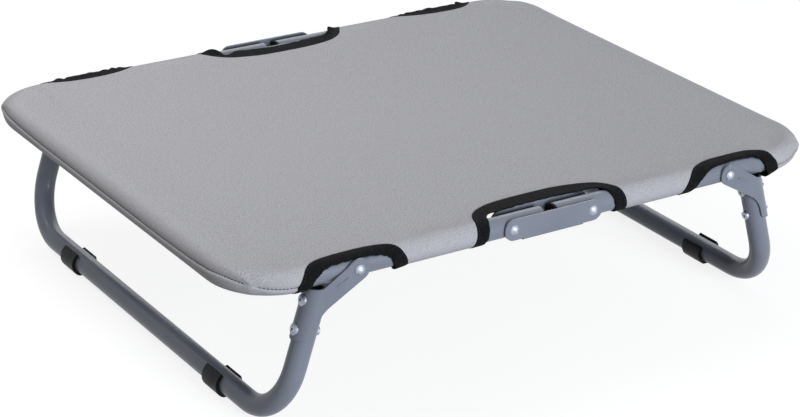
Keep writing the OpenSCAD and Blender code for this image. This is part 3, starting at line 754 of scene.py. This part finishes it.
def tape_strip(half, rail, kind):
    """The tape folded over the edge of a cut-out, as a closed strip with rounded edges.

    The right front tape's faces point outwards, and each mirroring of it turns them round.
    """
    side = HALVES[half]
    line = cut_outline(half, rail, kind)
    width = tape_width(line, half, rail, kind)
    along = np.concatenate([[0], np.cumsum(np.linalg.norm(np.diff(line, axis=0), axis=1))])
    where = line[:, None] + inward(line)[:, None] * (width[:, None] * TAPE_SHARE)[:, :, None]
    p = rail_p(where[..., 0], rail)
    s = where[..., 1]
    heights = TAPE_LIFT + np.maximum(cloth_lift(half, p, s), 0)
    heights = heights + tape_stand(half, rail, kind, line[:, :1], s, TAPE_SHARE)
    points = cloth_point(p, s, heights)
    count, ring = heights.shape
    i, j = np.meshgrid(np.arange(count - 1), np.arange(ring), indexing="ij")
    here, after = i * ring + j, i * ring + (j + 1) % ring
    quads = np.stack([here, after, after + ring, here + ring], axis=-1).reshape(-1, 4).tolist()
    caps = [list(range(ring))[::-1], [(count - 1) * ring + k for k in range(ring)]]
    faces = [tuple(f) for f in quads + caps]
    if (side > 0) == (rail == "rear"):
        faces = [tuple(reversed(f)) for f in faces]
    lengthwise = np.broadcast_to(along[:, None], heights.shape)
    uv = np.stack([lengthwise, width[:, None] * TAPE_SHARE], axis=-1)
    points = points.reshape(-1, 3) * np.array([side, 1, 1])
    return make_mesh(f"{half}_{rail}_{kind}_tape", points, faces, TAPE, uv.reshape(-1, 2), sharp=60)


def at_length(length, along, values):
    """A vector at a length along a path, between the ones given for its points."""
    return np.array([np.interp(length, along, values[:, k]) for k in range(3)])


def stitches(name, path, up, length, gap, radius):
    """A row of short sunk threads along a path of points, with the surface's direction at each."""
    along = np.concatenate([[0], np.cumsum(np.linalg.norm(np.diff(path, axis=0), axis=1))])
    sides = 6
    points, faces = [], []
    for start in np.arange(gap, along[-1] - length - gap, length + gap):
        base = len(points)
        for place, girth in STITCH_RINGS:
            t = start + length * (place + 0.5)
            centre = at_length(t, along, path)
            n = at_length(t, along, up)
            n /= np.linalg.norm(n)
            ahead = at_length(t + 0.5, along, path) - at_length(t - 0.5, along, path)
            b = np.cross(n, ahead / max(np.linalg.norm(ahead), 1e-6))
            sink = -(0.35 * (1 - girth) + 0.2) * radius
            for a in 2 * math.pi * np.arange(sides) / sides:
                ring = (b * math.cos(a) + n * math.sin(a)) * radius * girth
                points.append(centre + ring + n * sink)
        for r in range(len(STITCH_RINGS) - 1):
            for k in range(sides):
                a, b = base + r * sides + k, base + r * sides + (k + 1) % sides
                faces.append((a, b, b + sides, a + sides))
        faces.append(tuple(base + k for k in reversed(range(sides))))
        faces.append(tuple(base + (len(STITCH_RINGS) - 1) * sides + k for k in range(sides)))
    return make_mesh(name, points, faces, THREAD)


def cloth_path(half, p, s, lift):
    """A path on the cloth and the direction out of it, on either half."""
    flip = np.array([HALVES[half], 1, 1])
    low = cloth_point(p, s, lift)
    return low * flip, (cloth_point(p, s, lift + 1.0) - low) * flip


def joined(name, objects):
    """One mesh from several that share a material."""
    with bpy.context.temp_override(active_object=objects[0], selected_editable_objects=objects):
        bpy.ops.object.join()
    objects[0].name = name
    return objects[0]


def seam_end(half, rail):
    """Where the seam meets the fabric's edge on a rail, on the outer side of the leg's cut-out."""
    leg = cut_outline(half, rail, "leg")
    outer = leg[len(leg) // 2:]
    order = np.argsort(outer[:, 1])
    return np.interp(seam_s(RUN), outer[order, 1], outer[order, 0])


def seam_stitches(half):
    """The sewn seam round a half's end, from one leg's tape to the other's, broken at the tips."""
    near, far = (RUN + ARC * CORNER_TIPS[half, rail][0] for rail in RAILS)
    runs = [
        (seam_end(half, "front"), near - TIP_GAP),
        (near + TIP_GAP, LENGTH - far - TIP_GAP),
        (LENGTH - far + TIP_GAP, LENGTH - seam_end(half, "rear")),
    ]
    made = []
    for k, (a, b) in enumerate(runs):
        p = np.linspace(a, b, max(8, round((b - a) / 2)))
        s = seam_s(p)
        path, up = cloth_path(half, p, s, cloth_lift(half, p, s) + CLOTH_T / 2)
        made.append(stitches(f"{half}_seam_{k}", path, up, **SEAM_STITCH))
    return joined(f"{half}_seam_stitches", made)


def tape_stitches(half, rail, kind):
    """The sewn line along a tape, near the fabric's edge."""
    line = cut_outline(half, rail, kind)
    row = line + inward(line) * SEWN_IN
    start = np.argmax(row[:, 0] > SEWN_FROM) if kind == "centre" else 2
    row = row[start:-2]
    p, s = rail_p(row[:, 0], rail), row[:, 1]
    lift = TAPE_TOP + 0.02 + np.maximum(cloth_lift(half, p, s), 0)
    path, up = cloth_path(half, p, s, lift)
    return stitches(f"{half}_{rail}_{kind}_tape_stitches", path, up, **TAPE_STITCH)


for half, side in HALVES.items():
    cloth = cover_half(half)
    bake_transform(cloth)
    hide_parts(f"{half}_cover", "centre_cover")
    pieces = []
    for rail in RAILS:
        strip = tape_strip(half, rail, "leg")
        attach(strip, f"{half}_half")
        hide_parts(f"{half}_{rail}_leg_binding")
        middle = tape_strip(half, rail, "centre")
        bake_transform(middle)
        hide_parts(f"{half}_{rail}_centre_binding", f"{rail}_centre_binding")
        sewn = tape_stitches(half, rail, "leg")
        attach(sewn, f"{half}_half")
        sewn_middle = tape_stitches(half, rail, "centre")
        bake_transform(sewn_middle)
        pieces += [strip, middle, sewn, sewn_middle]
    seam = seam_stitches(half)
    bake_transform(seam)
    pieces.append(seam)

# The camera, as fitted to the photograph
YAW, PITCH, ROLL = math.radians(-33.815), math.radians(23.887), math.radians(1.595)
CAMERA_PLACE = (-1.25771, -1.88763, 1.07064)
IMAGE_WIDTH = 800
FOCAL_PIXELS = 2304
SENSOR = 36
back = np.array([math.sin(YAW) * math.cos(PITCH), -math.cos(YAW) * math.cos(PITCH), math.sin(PITCH)])
right = np.array([math.cos(YAW), math.sin(YAW), 0.0])
up = np.cross(back, right)
tilted_right = right * math.cos(ROLL) + up * math.sin(ROLL)
tilted_up = -right * math.sin(ROLL) + up * math.cos(ROLL)


def placed(x, y, z, place):
    """The matrix with these axes at this place."""
    return Matrix([[x[k], y[k], z[k], place[k]] for k in range(3)] + [[0, 0, 0, 1]])


camera = bpy.data.objects.new("camera", bpy.data.cameras.new("camera"))
bpy.context.scene.collection.objects.link(camera)
camera.matrix_world = placed(tilted_right, tilted_up, back, CAMERA_PLACE)
camera.data.sensor_width = SENSOR
camera.data.lens = FOCAL_PIXELS * SENSOR / IMAGE_WIDTH
camera.data.clip_end = 50
bpy.context.scene.camera = camera


# The floor: its half size, how far it lies below the feet, its tones and its own white
FLOOR = 7000
FLOOR_Z = -0.2
FLOOR_TONES = (0.25, 0.27)
FLOOR_GLOW = 0.84

# The light from all round
AMBIENT = 0.22


def seen_ray(tree):
    """1 for the rays that show the background: from the camera, or by a reflection or glass."""
    path = add(tree, "LightPath")
    seen = math_node(tree, "MAXIMUM", path.outputs["Is Camera Ray"], path.outputs["Is Glossy Ray"])
    return math_node(tree, "MAXIMUM", seen, path.outputs["Is Transmission Ray"])


def floor_material():
    """A pale floor that looks white where nothing shades it and keeps a soft shadow."""
    material, tree = shader("pale_floor")
    place = add(tree, "TexCoord").outputs["Object"]
    tone = spread(tree, noise(tree, place, 3.0), 0.3, 0.7, *FLOOR_TONES)
    grey = add(tree, "CombineColor", {0: tone, 1: tone, 2: tone}).outputs[0]
    shown = add(tree, "BsdfDiffuse", {"Color": grey}).outputs[0]
    glow = add(tree, "Emission", {"Color": (1, 1, 1, 1), "Strength": FLOOR_GLOW}).outputs[0]
    shown = add(tree, "AddShader", {0: shown, 1: glow}).outputs[0]
    bounce = add(tree, "BsdfDiffuse", {"Color": (0.4, 0.4, 0.4, 1)}).outputs[0]
    both = add(tree, "MixShader", {0: seen_ray(tree), 1: bounce, 2: shown}).outputs[0]
    add(tree, "OutputMaterial", {0: both})
    return material


corners = [(x * FLOOR, y * FLOOR, FLOOR_Z) for x, y in ((-1, -1), (1, -1), (1, 1), (-1, 1))]
floor = make_mesh("floor", corners, [(0, 1, 2, 3)], floor_material())

world = bpy.data.worlds.new("studio")
world.use_nodes = True
tree = world.node_tree
tree.nodes.clear()
lit, white = (
    add(tree, "Background", {"Color": (1, 1, 1, 1), "Strength": strength}).outputs[0]
    for strength in (AMBIENT, 1.0)
)
sky = add(tree, "MixShader", {0: seen_ray(tree), 1: lit, 2: white}).outputs[0]
add(tree, "OutputWorld", {0: sky})
bpy.context.scene.world = world


def soft_lamp(name, place, target, size, watts, colour=(1, 1, 1)):
    """A soft box of a width and height, aimed at a point."""
    lamp = bpy.data.lights.new(name, "AREA")
    lamp.shape = "RECTANGLE"
    lamp.size, lamp.size_y = size
    lamp.energy = watts
    lamp.color = colour
    obj = bpy.data.objects.new(name, lamp)
    bpy.context.scene.collection.objects.link(obj)
    z = np.array(place, float) - np.array(target, float)
    z /= np.linalg.norm(z)
    x = np.cross((0, 0, 1), z)
    x /= np.linalg.norm(x)
    obj.matrix_world = placed(x, np.cross(z, x), z, place)


soft_lamp("key", place=(0.5, -5.0, 1.5), target=(0, 0, 0.15), size=(1.6, 2.5), watts=244,
          colour=(0.935, 0.99, 1.06))
soft_lamp("fill", place=(-0.5, 0.3, 1.15), target=(-0.1, 0.05, 0.17), size=(0.8, 0.8), watts=5.7)
soft_lamp("rim", place=(2.1, 2.8, 1.9), target=(0, 0, 0.1), size=(2.8, 2.0), watts=29)

bpy.context.scene.view_settings.view_transform = "Standard"
bpy.context.view_layer.update()
